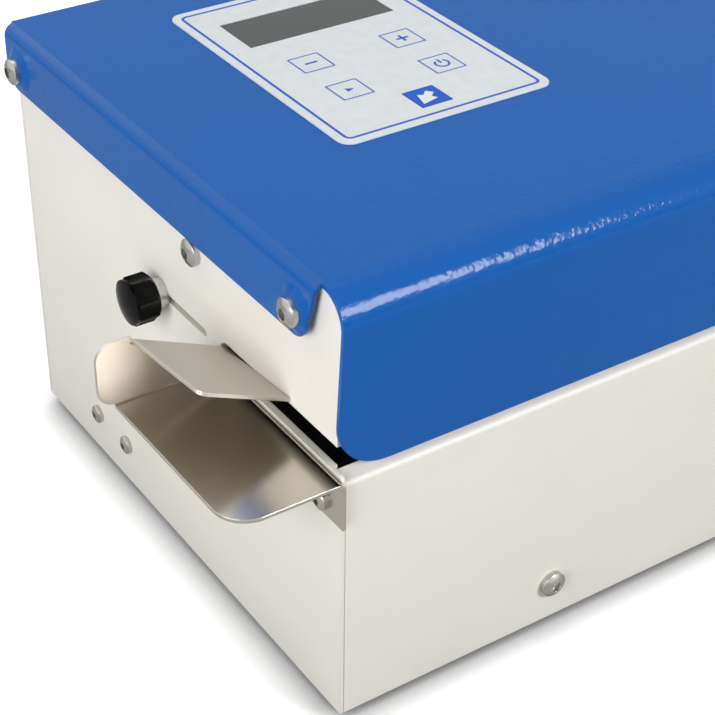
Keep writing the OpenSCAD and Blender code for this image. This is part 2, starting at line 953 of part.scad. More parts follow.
// Clamp: a stud with its nut behind the leaf, a collar and a fluted knob
module guide_stud() {
    color("silver") placed() {
        nut_x = clamp_x + inlet_t;
        front_x = -collar_l - knob_l / 2;
        rod_x([front_x, knob_y, stud_z], stud_d, nut_x + nut_t + 1 - front_x);
        translate([nut_x, knob_y, stud_z])
            rotate([0, 90, 0])
                cylinder(d = nut_af / cos(30), h = nut_t, $fn = 6);
    }
}

module guide_collar() {
    color("silver") placed()
        difference() {
            rod_x([-collar_l, knob_y, stud_z], collar_d, collar_l);
            rod_x([-collar_l - cut, knob_y, stud_z], stud_d + 2 * run_fit, collar_l + 2 * cut);
        }
}

module guide_knob() {
    dome = 1.4;
    edge = 1.2;
    cap_t = 2.4;
    cap_d = knob_d - 1.2;
    flute_r = knob_d / 3;
    dome_r = (cap_d * cap_d / 4 + dome * dome) / (2 * dome);
    color("black") placed()
        translate([-collar_l, knob_y, stud_z])
            rotate([0, -90, 0])
                difference() {
                    union() {
                        difference() {
                            union() {
                                cylinder(d1 = knob_d - 2 * edge, d2 = knob_d, h = edge);
                                translate([0, 0, edge])
                                    cylinder(d = knob_d, h = knob_l - cap_t - edge);
                            }
                            for (i = [0 : knob_flutes - 1])
                                rotate(360 * i / knob_flutes)
                                    translate([knob_d / 2 + flute_r - flute_depth, 0, -cut])
                                        cylinder(r = flute_r, h = knob_l);
                        }
                        intersection() {
                            translate([0, 0, knob_l - cap_t])
                                cylinder(d = cap_d, h = cap_t);
                            translate([0, 0, knob_l - dome_r])
                                sphere(dome_r);
                        }
                    }
                    translate([0, 0, -cut])
                        cylinder(d = stud_d + 2 * run_fit, h = knob_l / 2 + cut + run_fit);
                }
}

// Keypad
module keypad_overlay() {
    color("whitesmoke") placed()
        along_z(hood_h, pad_t)
            difference() {
                round_box_2d([pad_x, pad_y], [pad_x + pad_w, pad_y + pad_d], pad_r);
                for (at = key_places)
                    translate(at)
                        square(key_window, center = true);
                translate(display_at)
                    square([display_w + 2 * hole_fit, display_d + 2 * hole_fit], center = true);
            }
}

module key(at) {
    plate_z = hood_h + pad_t + key_proud - key_t;
    stem_z = board_top + switch_h + key_travel + run_fit;
    placed()
        translate([at[0], at[1], 0]) {
            along_z(plate_z, key_t)
                round_box_2d([-key_w / 2, -key_w / 2], [key_w / 2, key_w / 2], key_r);
            translate([0, 0, stem_z])
                cylinder(d = stem_d, h = plate_z - stem_z);
        }
}

module function_key() {
    color("whitesmoke")
        key(function_at);
}

module start_key() {
    color("royalblue")
        key(start_at);
}

module standby_key() {
    color("whitesmoke")
        key(standby_at);
}

module minus_key() {
    color("whitesmoke")
        key(minus_at);
}

module plus_key() {
    color("whitesmoke")
        key(plus_at);
}

module display_window() {
    color("darkslategray") placed()
        translate([display_at[0] - display_w / 2, display_at[1] - display_d / 2, hood_h])
            cube([display_w, display_d, pad_t - 0.2]);
}

module display_module() {
    size = [display_w - 2 * display_rim - 2, display_d - 2 * display_rim - 2];
    color("darkgreen") placed()
        translate([display_at[0] - size[0] / 2, display_at[1] - size[1] / 2, board_top])
            cube([size[0], size[1], spacer_l + hood_t - 0.3]);
}

module spacer_places() {
    inset = board_inset + spacer_d;
    for (x = [pad_x + inset, pad_x + pad_w - inset], y = [pad_y + inset, pad_y + pad_d - inset])
        translate([x, y, board_top])
            children();
}

module control_board() {
    color("seagreen") placed() {
        translate([pad_x + board_inset, pad_y + board_inset, board_top - board_t])
            cube([pad_w - 2 * board_inset, pad_d - 2 * board_inset, board_t]);
        for (at = key_places)
            translate([at[0], at[1], board_top]) {
                translate([-switch_w / 2, -switch_w / 2, 0])
                    cube([switch_w, switch_w, switch_h - 1.5]);
                cylinder(d = stem_d, h = switch_h);
            }
    }
}

module board_spacers() {
    color("silver") placed()
        spacer_places()
            cylinder(d = spacer_d, h = spacer_l, $fn = 6);
}

// Chassis: the plate behind the throat that carries the drive and the heaters
module chassis_tab_2d() {
    for (z = chassis_screw_zs)
        difference() {
            box_2d([chassis_y, z - tab_h / 2], [chassis_y + tab_d, z + tab_h / 2]);
            translate([chassis_screw_y, z])
                circle(d = screw_d + 2 * hole_fit);
        }
}

module chassis_plate() {
    color("gray") placed() {
        along_y(chassis_y, chassis_t)
            difference() {
                box_2d([end_t, chassis_bottom], [base_l - end_t, chassis_top]);
                for (x = [end_t - cut, base_l - end_t - notch_l])
                    box_2d([x, stud_z - notch_h / 2], [x + notch_l + cut, stud_z + notch_h / 2]);
                for (z = [lower_z, upper_z]) {
                    translate([drive_at, z])
                        circle(d = bush_d + 2 * hole_fit);
                    translate([idler_x, z])
                        circle(d = shaft_d + 2 * hole_fit);
                }
            }
        both_ends()
            along_x(end_t, chassis_t)
                chassis_tab_2d();
    }
}

// Drive
module shaft_bushes() {
    color("peru") placed()
        for (z = [lower_z, upper_z])
            difference() {
                union() {
                    rod_y([drive_at, chassis_y - bush_flange_t, z], bush_flange_d, bush_flange_t);
                    rod_y([drive_at, chassis_y, z], bush_d, bush_l);
                }
                rod_y([drive_at, chassis_y - bush_flange_t - cut, z],
                    shaft_d + 2 * run_fit, bush_flange_t + bush_l + 2 * cut);
            }
}

module drive_shaft(z) {
    placed()
        rod_y([drive_at, pulley_y - 1, z], shaft_d, gear_y + gear_w + 2 - pulley_y);
}

module lower_drive_shaft() {
    color("silver")
        drive_shaft(lower_z);
}

module upper_drive_shaft() {
    color("silver")
        drive_shaft(upper_z);
}

// Turned ring on a shaft; points are [radius, height along the shaft] outside the bore
module turned(at, points) {
    placed()
        translate(at)
            rotate([-90, 0, 0])
                rotate_extrude()
                    polygon(points);
}

module pulley(x, z) {
    bore = shaft_d / 2 + run_fit;
    turned([x, pulley_y, z], [
        [bore, 0], [pulley_rim_r, 0], [pulley_rim_r, pulley_rim_w], [pulley_r, pulley_rim_w],
        [pulley_r, pulley_w - pulley_rim_w], [pulley_rim_r, pulley_w - pulley_rim_w],
        [pulley_rim_r, pulley_w], [bore, pulley_w]
    ]);
}

module roller(z) {
    bore = shaft_d / 2 + run_fit;
    chamfer = 1;
    turned([drive_at, seal_y, z], [
        [bore, 0], [roller_r - chamfer, 0], [roller_r, chamfer],
        [roller_r, seal_w - chamfer], [roller_r - chamfer, seal_w], [bore, seal_w]
    ]);
}

module lower_drive_pulley() {
    color("dimgray")
        pulley(drive_at, lower_z);
}

module upper_drive_pulley() {
    color("dimgray")
        pulley(drive_at, upper_z);
}

module lower_sealing_roller() {
    color("firebrick")
        roller(lower_z);
}

module upper_sealing_roller() {
    color("firebrick")
        roller(upper_z);
}

// Involute gear: half the angle that a tooth covers at radius r, in degrees, and its outline
pressure_angle = 20;
function involute(r, base_r) = let (a = acos(min(1, base_r / r))) tan(a) * 180 / PI - a;
function tooth_half(r, teeth) =
    let (pitch = gear_module * teeth / 2, base_r = pitch * cos(pressure_angle))
    90 / teeth - gear_play / pitch * 45 / PI + involute(pitch, base_r) - involute(max(r, base_r), base_r);
function tooth_radii(teeth) =
    let (pitch = gear_module * teeth / 2)
    [pitch - 1.25 * gear_module, pitch * cos(pressure_angle) + 0.1, pitch, pitch + 0.95 * gear_module];
function polar(r, a) = [r * cos(a), r * sin(a)];
function tooth(i, teeth, turn) =
    let (radii = tooth_radii(teeth), middle = turn + 360 * i / teeth)
    concat(
        [for (j = [0 : 3]) polar(radii[j], middle - tooth_half(radii[j], teeth))],
        [for (j = [3 : -1 : 0]) polar(radii[j], middle + tooth_half(radii[j], teeth))]
    );

module gear_2d(teeth, turn) {
    polygon([for (i = [0 : teeth - 1]) each tooth(i, teeth, turn)]);
}

module shaft_gear(z, turn) {
    placed()
        translate([drive_at, 0, z])
            along_y(gear_y, gear_w)
                difference() {
                    gear_2d(gear_teeth, turn);
                    circle(shaft_d / 2 + run_fit);
                }
}

// The lower gear has a tooth at the top; the upper gear has a gap there
module lower_drive_gear() {
    color("tan")
        shaft_gear(lower_z, 90);
}

module upper_drive_gear() {
    color("tan")
        shaft_gear(upper_z, -90 + 180 / gear_teeth);
}

// The pinion is cut on the motor's shaft; its teeth follow the gap or tooth that the lower gear turns to it
module motor_pinion() {
    steps = 90 * gear_teeth / 360;
    turn = (steps - floor(steps)) * 360 / pinion_teeth + 180 / pinion_teeth;
    color("silver") placed()
        translate([pinion_at, 0, lower_z]) {
            along_y(gear_y, gear_w)
                gear_2d(pinion_teeth, turn);
            rod_y([0, gear_y, 0], motor_shaft_d, motor_plate_y + motor_plate_t + gearbox_l / 2 - gear_y);
        }
}

module idler_axles() {
    journal_y = pulley_y - journal_play;
    head_t = 1.5;
    rear_y = chassis_y + chassis_t + axle_nut_t + 1;
    color("silver") placed()
        for (z = [lower_z, upper_z]) {
            rod_y([idler_x, journal_y - head_t, z], axle_d, head_t);
            rod_y([idler_x, journal_y, z], shaft_d, rear_y - journal_y);
            rod_y([idler_x, journal_y + journal_l, z], axle_d, chassis_y - journal_y - journal_l);
            translate([idler_x, chassis_y + chassis_t, z])
                rotate([-90, 0, 0])
                    cylinder(d = axle_d / cos(30), h = axle_nut_t, $fn = 6);
        }
}

module lower_idler_pulley() {
    color("dimgray")
        pulley(idler_x, lower_z);
}

module upper_idler_pulley() {
    color("dimgray")
        pulley(idler_x, upper_z);
}

module belt(z) {
    placed()
        along_y(pulley_y + 2 * pulley_rim_w, pulley_w - 4 * pulley_rim_w)
            difference() {
                slot_2d([idler_x, z], [drive_at, z], 2 * belt_r);
                slot_2d([idler_x, z], [drive_at, z], 2 * (belt_r - belt_t));
            }
}

module lower_belt() {
    color("saddlebrown")
        belt(lower_z);
}

module upper_belt() {
    color("saddlebrown")
        belt(upper_z);
}

// Motor
module standoff_places() {
    middle = (drive_at + pinion_at) / 2 + 4;
    for (x = [middle - standoff_x, middle + standoff_x], z = [lower_z - standoff_z, lower_z + standoff_z])
        translate([x, 0, z])
            children();
}

module motor_plate() {
    middle = (drive_at + pinion_at) / 2 + 4;
    margin = standoff_d;
    color("gray") placed()
        along_y(motor_plate_y, motor_plate_t)
            difference() {
                box_2d(
                    [middle - standoff_x - margin, lower_z - standoff_z - margin],
                    [middle + standoff_x + margin, lower_z + standoff_z + margin]
                );
                translate([pinion_at, lower_z])
                    circle(d = motor_shaft_d + 4);
            }
}

module motor_standoffs() {
    color("silver") placed()
        standoff_places()
            rod_y([0, chassis_y + chassis_t, 0], standoff_d, standoff_l);
}

module gear_motor() {
    face = motor_plate_y + motor_plate_t;
    color("slategray") placed()
        translate([pinion_at, 0, lower_z])
            difference() {
                union() {
                    rod_y([0, face, 0], gearbox_d, gearbox_l);
                    rod_y([0, face + gearbox_l, 0], motor_d, motor_l);
                }
                rod_y([0, face - cut, 0], motor_shaft_d + 2 * run_fit, gearbox_l / 2 + cut + run_fit);
            }
}

// Heaters
module heater_bar(z) {
    difference() {
        translate([heater_left, seal_y, z])
            cube([heater_l, seal_w, heater_h]);
        rod_x([heater_left - cut, seal_y + seal_w / 2, z + heater_h / 2 - cartridge_drop],
            cartridge_d + 2 * run_fit, heater_l + 2 * cut);
    }
}

module cartridge(z) {
    placed()
        rod_x([heater_left - cartridge_out, seal_y + seal_w / 2, z + heater_h / 2 - cartridge_drop],
            cartridge_d, heater_l + cartridge_out);
}

module pin_places(z) {
    for (side = [-1, 1])
        translate([heater_mid + side * pin_spacing / 2, seal_y + seal_w / 2, z])
            children();
}

module upper_heater_bar() {
    color("goldenrod") placed()
        difference() {
            heater_bar(upper_bar_z);
            pin_places(upper_bar_top - pin_depth)
                cylinder(d = pin_d + 2 * run_fit, h = pin_depth + cut);
        }
}

module upper_cartridge() {
    color("silver")
        cartridge(upper_bar_z);
}

module heater_pins() {
    head_z = upper_bracket_z + bracket_t;
    foot_z = upper_bar_top - pin_depth;
    color("silver") placed() {
        pin_places(foot_z)
            cylinder(d = pin_d, h = head_z - foot_z);
        pin_places(head_z)
            cylinder(d = pin_head_d, h = pin_head_h);
    }
}

// Spring: a helical tube of triangles between the upper bar and its bracket
spring_l = bracket_gap - 2 * spring_seat - spring_wire;
spring_steps = spring_curls * spring_rings;
function spring_axis(t) = [
    spring_d / 2 * cos(360 * spring_curls * t), spring_d / 2 * sin(360 * spring_curls * t), spring_l * t
];
function spring_ring(t) =
    let (
        out = [cos(360 * spring_curls * t), sin(360 * spring_curls * t), 0],
        rise = atan2(spring_l, PI * spring_d * spring_curls),
        up = [out[1] * sin(rise), -out[0] * sin(rise), cos(rise)]
    )
    [for (j = [0 : spring_sides - 1])
        let (a = 360 * j / spring_sides)
        spring_axis(t) + spring_wire / 2 * (cos(a) * out + sin(a) * up)];
echo(spring_gap = spring_l / spring_curls - spring_wire);

module spring() {
    points = [for (i = [0 : spring_steps]) each spring_ring(i / spring_steps)];
    last = spring_steps * spring_sides;
    walls = [
        for (i = [0 : spring_steps - 1], j = [0 : spring_sides - 1])
            let (a = i * spring_sides + j, b = i * spring_sides + (j + 1) % spring_sides)
            each [[a, a + spring_sides, b], [b, a + spring_sides, b + spring_sides]]
    ];
    ends = [for (j = [1 : spring_sides - 2]) each [[0, j, j + 1], [last, last + j + 1, last + j]]];
    polyhedron(points, concat(walls, ends));
}

module heater_springs() {
    color("silver") placed()
        pin_places(upper_bar_top + spring_seat + spring_wire / 2)
            spring();
}

module bracket(z) {
    translate([heater_mid - bracket_l / 2, bracket_y, z])
        cube([bracket_l, chassis_y - bracket_y, bracket_t]);
    translate([heater_mid - bracket_l / 2, chassis_y - bracket_t, z + bracket_t - bracket_flange])
        cube([bracket_l, bracket_t, bracket_flange]);
}

module upper_heater_bracket() {
    color("gray") placed()
        difference() {
            bracket(upper_bracket_z);
            pin_places(upper_bracket_z - cut)
                cylinder(d = pin_d + 2 * run_fit, h = bracket_t + 2 * cut);
        }
}

module lower_heater_bracket() {
    color("gray") placed()
        bracket(lower_bracket_z);
}

module lower_heater_bar() {
    color("goldenrod") placed()
        heater_bar(lower_bar_z);
}

module lower_cartridge() {
    color("silver")
        cartridge(lower_bar_z);
}

module lower_heater_posts() {
    color("silver") placed()
        pin_places(lower_bracket_z + bracket_t)
            cylinder(d = pin_head_d, h = bracket_gap);
}

// Mains side
module power_supply() {
    color("silver") placed()
        translate([supply_x, base_d - supply_w - supply_gap, panel_t])
            cube([supply_l, supply_w, supply_h]);
}

module power_inlet() {
    cavity_w = inlet_w - 2 * inlet_wall;
    cavity_h = inlet_h - 2 * inlet_wall;
    floor_y = base_d - inlet_l + 5;
    color("black") placed()
        translate([inlet_at, 0, mains_z]) {
            difference() {
                union() {
                    along_y(base_d - inlet_l, inlet_l)
                        square([inlet_w, inlet_h], center = true);
                    along_y(base_d, inlet_rim_t)
                        round_box_2d(
                            [-inlet_w / 2 - inlet_rim, -inlet_h / 2 - inlet_rim],
                            [inlet_w / 2 + inlet_rim, inlet_h / 2 + inlet_rim], inlet_rim
                        );
                }
                along_y(floor_y, inlet_l + inlet_rim_t)
                    polygon([
                        [-cavity_w / 2, -cavity_h / 2], [cavity_w / 2, -cavity_h / 2],
                        [cavity_w / 2, cavity_h / 5], [cavity_w / 3, cavity_h / 2],
                        [-cavity_w / 3, cavity_h / 2], [-cavity_w / 2, cavity_h / 5]
                    ]);
            }
            for (at = [[-7, -2], [0, 3], [7, -2]])
                translate([at[0] - 1, floor_y - cut, at[1] - 2])
                    cube([2, inlet_l / 2 + cut, 4]);
        }
}

module power_switch() {
    rim_w = switch_body_w + 2 * switch_rim;
    rim_h = switch_body_h + 2 * switch_rim;
    pin_l = well_w + 2 * rocker_pin_out + 2 * run_fit;
    color("black") placed()
        translate([switch_at, 0, mains_z])
            difference() {
                union() {
                    along_y(base_d - switch_l, switch_l)
                        square([switch_body_w, switch_body_h], center = true);
                    along_y(base_d, switch_rim_t)
                        square([rim_w, rim_h], center = true);
                }
                along_y(base_d - switch_l / 2, switch_l)
                    square([well_w, well_h], center = true);
                rod_x([-pin_l / 2, base_d - rocker_sink, 0], rocker_pin_d + 2 * run_fit, pin_l);
            }
}

// The rocker rests with its lower half pressed
module power_rocker() {
    waist = 2.6;
    color("black") placed()
        translate([switch_at, base_d - rocker_sink, mains_z])
            rotate([-rocker_angle, 0, 0]) {
                along_x(-rocker_w / 2, rocker_w)
                    polygon([
                        [-3, -4], [waist, -rocker_reach], [rocker_lift, -rocker_reach], [waist, 0],
                        [rocker_lift, rocker_reach], [waist, rocker_reach], [-3, 4]
                    ]);
                rod_x([-well_w / 2 - rocker_pin_out, 0, 0], rocker_pin_d, well_w + 2 * rocker_pin_out);
            }
}

left_end_plate();
right_end_plate();
front_panel();
rear_panel();
bottom_plate();
rubber_feet();
top_cover();
cover_screws();
chassis_screws();
front_screws();
side_screws();
inlet_tray();
tray_screws();
inlet_guide();
guide_stud();
guide_collar();
guide_knob();
keypad_overlay();
function_key();
start_key();
standby_key();
minus_key();
plus_key();
display_window();
display_module();
control_board();
board_spacers();
chassis_plate();
shaft_bushes();
lower_drive_shaft();
upper_drive_shaft();
lower_drive_pulley();
upper_drive_pulley();
lower_sealing_roller();
upper_sealing_roller();
lower_drive_gear();
upper_drive_gear();
idler_axles();
lower_idler_pulley();
upper_idler_pulley();
lower_belt();
upper_belt();
motor_plate();
motor_standoffs();
gear_motor();
motor_pinion();
upper_heater_bracket();
upper_heater_bar();
upper_cartridge();
heater_pins();
heater_springs();
lower_heater_bracket();
lower_heater_bar();
lower_cartridge();
lower_heater_posts();
power_supply();
power_inlet();
power_switch();
power_rocker();
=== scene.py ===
"""Looks of the rotary heat sealer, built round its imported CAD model."""

import json
import math

import bpy
from mathutils import Matrix, Vector


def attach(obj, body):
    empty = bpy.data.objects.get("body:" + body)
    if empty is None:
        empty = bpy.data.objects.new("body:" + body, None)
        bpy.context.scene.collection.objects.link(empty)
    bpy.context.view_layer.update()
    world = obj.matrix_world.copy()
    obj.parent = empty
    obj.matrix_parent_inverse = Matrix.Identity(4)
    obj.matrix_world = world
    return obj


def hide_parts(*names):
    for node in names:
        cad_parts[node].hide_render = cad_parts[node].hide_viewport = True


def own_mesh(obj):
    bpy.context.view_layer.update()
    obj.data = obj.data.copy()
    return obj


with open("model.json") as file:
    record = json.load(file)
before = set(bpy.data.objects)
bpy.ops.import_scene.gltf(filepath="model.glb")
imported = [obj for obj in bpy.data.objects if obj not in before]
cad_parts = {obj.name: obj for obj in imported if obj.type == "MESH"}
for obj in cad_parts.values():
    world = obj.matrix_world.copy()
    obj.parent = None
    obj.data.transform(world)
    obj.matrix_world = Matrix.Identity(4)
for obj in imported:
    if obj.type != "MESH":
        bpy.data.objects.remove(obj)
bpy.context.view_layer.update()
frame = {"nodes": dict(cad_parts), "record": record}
nodes = frame["nodes"]
node_slots = {s["node"]: s["material_slot"] for s in frame["record"]["subparts"]}

# Lengths are in millimetres, and places are from the base's front left bottom corner, as in the part's source
CORNER = (-232.0, -107.5, 4.0)


def at(x, y, z):
    """A place of the part's source in the shared frame, in metres."""
    return Vector(((x + CORNER[0]) / 1000, (y + CORNER[1]) / 1000, (z + CORNER[2]) / 1000))


def linear(red, green, blue):
    """A colour written in 0 to 255 as a shader takes it."""

    def one(v):
        v /= 255
        return v / 12.92 if v <= 0.04045 else ((v + 0.055) / 1.055) ** 2.4

    return (one(red), one(green), one(blue))


# Shader nodes


def feed(tree, value, socket):
    """Sets a socket to a number, or links it to another node's output."""
    if isinstance(value, (int, float)):
        socket.default_value = value
    else:
        tree.links.new(value, socket)


def map_range(tree, source, start, end, low, high, smooth=False):
    """A value that goes from low to high as the source goes from start to end."""
    node = tree.nodes.new("ShaderNodeMapRange")
    if smooth:
        node.interpolation_type = "SMOOTHSTEP"
    for key, value in (("From Min", start), ("From Max", end), ("To Min", low), ("To Max", high)):
        feed(tree, value, node.inputs[key])
    tree.links.new(source, node.inputs["Value"])
    return node.outputs["Result"]


def by_ray(tree, hidden, mirrored, shown):
    """A value for bounced light, another for what metal and glass mirror, and one for the camera."""
    path = tree.nodes.new("ShaderNodeLightPath")
    either = tree.nodes.new("ShaderNodeMath")
    either.operation = "MAXIMUM"
    tree.links.new(path.outputs["Is Glossy Ray"], either.inputs[0])
    tree.links.new(path.outputs["Is Transmission Ray"], either.inputs[1])
    off_camera = map_range(tree, either.outputs["Value"], 0, 1, hidden, mirrored)
    return map_range(tree, path.outputs["Is Camera Ray"], 0, 1, off_camera, shown)


# Materials

# Noise stays mostly inside this span
NOISE_SPAN = (0.3, 0.7)
# Upward part of the normal at which dust begins and is complete
DUST_SPAN = (0.95, 0.995)
# How much longer than wide the grain of brushed steel is, along each axis
GRAIN = (30, 1, 1)


class Surface:
    """A principled material whose colour, roughness and relief come from noise in the part's own space."""

    def __init__(self, name, metallic=0.0, specular=0.5):
        self.material = bpy.data.materials.new(name)
        self.material.use_nodes = True
        self.tree = self.material.node_tree
        self.shader = self.tree.nodes["Principled BSDF"]
        self.shader.inputs["Metallic"].default_value = metallic
        self.shader.inputs["Specular IOR Level"].default_value = specular
        self.place = self.tree.nodes.new("ShaderNodeTexCoord").outputs["Object"]
        self.normal = None

    def noise(self, size, stretch=(1, 1, 1), detail=2.0):
        """Noise with features of that size, stretched along the axes."""
        mapping = self.tree.nodes.new("ShaderNodeMapping")
        mapping.inputs["Scale"].default_value = [1000 / size / s for s in stretch]
        self.tree.links.new(self.place, mapping.inputs["Vector"])
        node = self.tree.nodes.new("ShaderNodeTexNoise")
        node.inputs["Scale"].default_value = 1.0
        node.inputs["Detail"].default_value = detail
        self.tree.links.new(mapping.outputs["Vector"], node.inputs["Vector"])
        return node.outputs["Fac"]

    def colour(self, rgb, spread, size, stretch=(1, 1, 1)):
        """A colour that varies by that share of itself."""
        node = self.tree.nodes.new("ShaderNodeValToRGB")
        for element, place, share in zip(node.color_ramp.elements, NOISE_SPAN, (1 - spread, 1 + spread)):
            element.position = place
            element.color = (*[min(1, c * share) for c in rgb], 1)
        self.tree.links.new(self.noise(size, stretch), node.inputs["Fac"])
        self.tree.links.new(node.outputs["Color"], self.shader.inputs["Base Color"])
        return self

    def rough(self, low, high, size, stretch=(1, 1, 1)):
        """A roughness that varies from low to high."""
        self.roughness = map_range(self.tree, self.noise(size, stretch), *NOISE_SPAN, low, high)
        self.tree.links.new(self.roughness, self.shader.inputs["Roughness"])
        return self

    def dusty(self, rough):
        """That roughness where the surface faces straight up, from dust and handling."""
        facing = self.tree.nodes.new("ShaderNodeSeparateXYZ")
        geometry = self.tree.nodes.new("ShaderNodeNewGeometry")
        self.tree.links.new(geometry.outputs["Normal"], facing.inputs["Vector"])
        dusted = map_range(self.tree, facing.outputs["Z"], *DUST_SPAN, self.roughness, rough, True)
        self.tree.links.new(dusted, self.shader.inputs["Roughness"])
        return self

    def soft_edges(self, radius):
        """Edges rounded by that radius."""
        node = self.tree.nodes.new("ShaderNodeBevel")
        node.samples = 4
        node.inputs["Radius"].default_value = radius / 1000
        return self.bend(node.outputs["Normal"])

    def relief(self, depth, size):
        """Bumps of that depth and size."""
        node = self.tree.nodes.new("ShaderNodeBump")
        node.inputs["Strength"].default_value = 1.0
        node.inputs["Distance"].default_value = depth / 1000
        self.tree.links.new(self.noise(size, detail=1.0), node.inputs["Height"])
        self.tree.links.new(self.normal, node.inputs["Normal"])
        return self.bend(node.outputs["Normal"])

    def bend(self, normal):
        """Makes the shader, and what is added next, use that normal."""
        self.normal = normal
        self.tree.links.new(normal, self.shader.inputs["Normal"])
        return self


def painted(name, rgb, rough, peel, peel_size=1.6, specular=0.5):
    """Powder coat, with an orange peel of that depth and size."""
    surface = Surface(name, 0.0, specular).colour(rgb, 0.02, 40).rough(rough, rough + 0.04, 9)
    return surface.soft_edges(0.5).relief(peel, peel_size)


def brushed(name, rgb, rough):
    """Stainless sheet with its grain along the part's length."""
    surface = Surface(name, 1.0).colour(rgb, 0.02, 0.3, GRAIN).rough(rough, rough + 0.015, 0.3, GRAIN)
    return surface.soft_edges(0.35)


def metal(name, rgb, rough):
    return Surface(name, 1.0).colour(rgb, 0.04, 3).rough(rough, rough + 0.08, 2).soft_edges(0.3)


def plastic(name, rgb, rough, relief=0.01, specular=0.5):
    surface = Surface(name, 0.0, specular).colour(rgb, 0.03, 5).rough(rough, rough + 0.06, 3)
    return surface.soft_edges(0.3).relief(relief, 0.5)


def printed(name, red, green, blue):
    """Film or ink of the keypad."""
    return plastic(name, linear(red, green, blue), 0.8, 0.004, 0.3)


BLUE = (0.001, 0.098, 0.395)
WHITE = (0.80, 0.775, 0.725)
STEEL = (0.58, 0.54, 0.48)

slots = {
    "hood_blue": painted("hood_blue", BLUE, 0.10, 0.10, 1.5, 0.20).relief(0.12, 3.5).dusty(0.55),
    "body_white": painted("body_white", WHITE, 0.42, 0.006),
    "zinc_sheet": metal("zinc_sheet", (0.52, 0.53, 0.54), 0.45),
    "stainless": brushed("stainless", STEEL, 0.20),
    "screw_steel": metal("screw_steel", (0.50, 0.49, 0.46), 0.17),
    "foot_rubber": plastic("foot_rubber", (0.02, 0.02, 0.02), 0.7),
    "knob_black": plastic("knob_black", (0.001, 0.001, 0.001), 0.12, 0.002, 0.12),
    "overlay": printed("overlay", 218, 222, 225),
    "key_white": printed("key_white", 216, 220, 223),
    "key_blue": printed("key_blue", 38, 92, 196),
    "display_tint": plastic("display_tint", (0.012, 0.016, 0.015), 0.08, 0.001),
    "display_glass": plastic("display_glass", (0.05, 0.08, 0.05), 0.2),
    "board": plastic("board", (0.02, 0.13, 0.05), 0.4),
    "steel": metal("steel", (0.58, 0.57, 0.55), 0.25),
    "bronze": metal("bronze", (0.44, 0.27, 0.13), 0.45),
    "aluminium": metal("aluminium", (0.70, 0.70, 0.71), 0.3),
    "silicone": plastic("silicone", (0.34, 0.04, 0.02), 0.6),
    "belt": plastic("belt", (0.13, 0.06, 0.03), 0.6),
    "gear_nylon": plastic("gear_nylon", linear(226, 218, 198), 0.4),
    "motor_grey": painted("motor_grey", (0.09, 0.10, 0.11), 0.4, 0.01),
    "brass": metal("brass", (0.62, 0.42, 0.16), 0.3),
    "supply_case": metal("supply_case", (0.62, 0.63, 0.64), 0.4),
    "black_plastic": plastic("black_plastic", (0.012, 0.012, 0.012), 0.45),
}
# The guide has a duller finish than the tray
own_finish = {"inlet_guide": brushed("stainless_satin", STEEL, 0.42)}
for name, node in nodes.items():
    surface = own_finish.get(name, slots[node_slots[name]])
    node.data.materials.clear()
    node.data.materials.append(surface.material)

# Print of the keypad: thin plates that lie on the overlay and on its keys

# Heights of the overlay and of its keys, and thickness of the print
PAD_TOP = 161.5
KEY_TOP = 161.6
INK_T = 0.06
# Left, front, right and rear edge of the overlay
PAD = (48.2, 72.8, 132.7, 188.8)
# Inset and corner radius of the border line's outer and inner edge
BORDER = ((3.0, 2.6), (4.0, 1.7))
# Width and corner radius of a key outline's outer and inner edge
KEY_LINE = ((12.1, 0.5), (11.2, 0.3))
# Middles of the keys
KEYS = {
    "start": (90.45, 87.5),
    "function": (71.55, 105.4),
    "standby": (109.35, 105.4),
    "minus": (71.55, 129.4),
    "plus": (109.35, 129.4),
}
print_blue = printed("print_blue", 52, 100, 200)
print_white = printed("print_white", 226, 229, 231)


def plate(name, loops, z, body, ink):
    """A flat plate inside one loop of points, or between an outer and an inner loop."""
    verts, faces = [], []
    n = len(loops[0])
    for loop in loops:
        for height in (z, z + INK_T):
            verts += [at(x, y, height) for x, y in loop]
    if len(loops) == 1:
        faces += [list(range(n, 2 * n)), list(range(n - 1, -1, -1))]
        faces += [[i, (i + 1) % n, n + (i + 1) % n, n + i] for i in range(n)]
    else:
        for i in range(n):
            j = (i + 1) % n
            faces += [[n + i, n + j, 3 * n + j, 3 * n + i], [j, i, 2 * n + i, 2 * n + j]]
            faces += [[i, j, n + j, n + i], [2 * n + j, 2 * n + i, 3 * n + i, 3 * n + j]]
    mesh = bpy.data.meshes.new(name)
    mesh.from_pydata(verts, [], faces)
    mesh.materials.append(ink.material)
    piece = bpy.data.objects.new(name, mesh)
    bpy.context.collection.objects.link(piece)
    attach(piece, body)


def symbol(name, key, loops, ink):
    """Plates on a key, from loops of points round the key's middle."""
    cx, cy = KEYS[key]
    for i, loop in enumerate(loops):
        placed = [(cx + x, cy + y) for x, y in loop]
        plate(f"{name}_{i}", [placed], KEY_TOP, key + "_button", ink)


def arc(r, start, end, steps):
    turns = [math.radians(start + (end - start) * i / steps) for i in range(steps + 1)]
    return [(r * math.cos(a), r * math.sin(a)) for a in turns]


def round_box(x0, y0, x1, y1, r):
    points = []
    corners = ((x1 - r, y1 - r), (x0 + r, y1 - r), (x0 + r, y0 + r), (x1 - r, y0 + r))
    for quarter, (cx, cy) in enumerate(corners):
        points += [(cx + x, cy + y) for x, y in arc(r, 90 * quarter, 90 * quarter + 90, 6)]
    return points


def inset_pad(d, r):
    return round_box(PAD[0] + d, PAD[1] + d, PAD[2] - d, PAD[3] - d, r)


def key_box(key, w, r):
    x, y = KEYS[key]
    return round_box(x - w / 2, y - w / 2, x + w / 2, y + w / 2, r)


